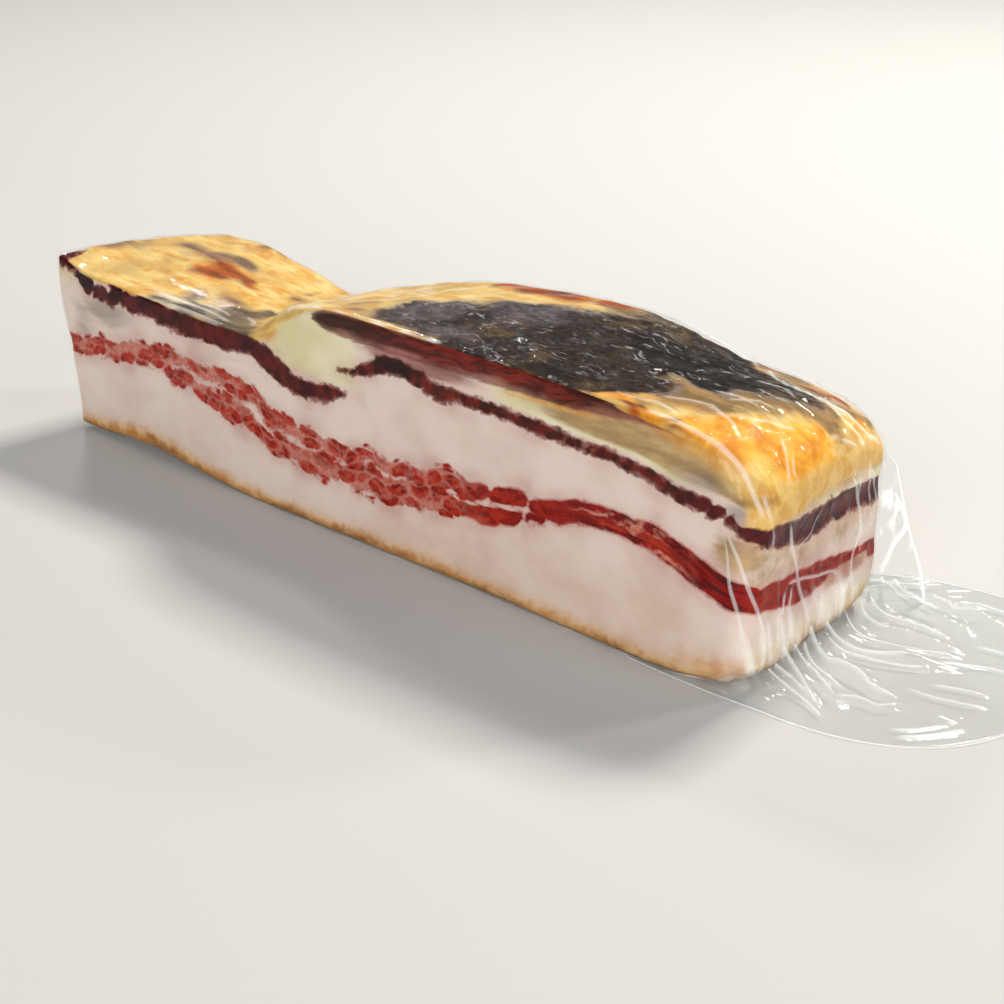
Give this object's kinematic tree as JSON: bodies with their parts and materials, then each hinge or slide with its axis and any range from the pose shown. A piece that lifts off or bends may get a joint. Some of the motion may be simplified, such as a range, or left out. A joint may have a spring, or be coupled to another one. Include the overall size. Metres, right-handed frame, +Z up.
{
  "type": "vacuum-packed bar of pancetta",
  "caption": "Bar of flat, slab-cured pork belly with layers of fat and lean on its cut face, sealed in a clear vacuum bag whose wrinkled tail lies flat past one end.",
  "frame": {"origin": "middle of the bar's flat underside", "axes": "+X along the bar towards the free tail of the bag, +Y away from the cut face that shows the layers, +Z up"},
  "size_m": [0.3226, 0.0936, 0.0711],
  "materials": {
    "cured_pork": "moist fat with red lean layers, an ochre and dark dried crust on top and a thin brown rind below",
    "clear_film": "clear glossy film, wrinkled and creased"
  },
  "bodies": {
    "root": {"pancetta_slab": "cured_pork", "bag_tail": "clear_film"}
  },
  "joints": []
}
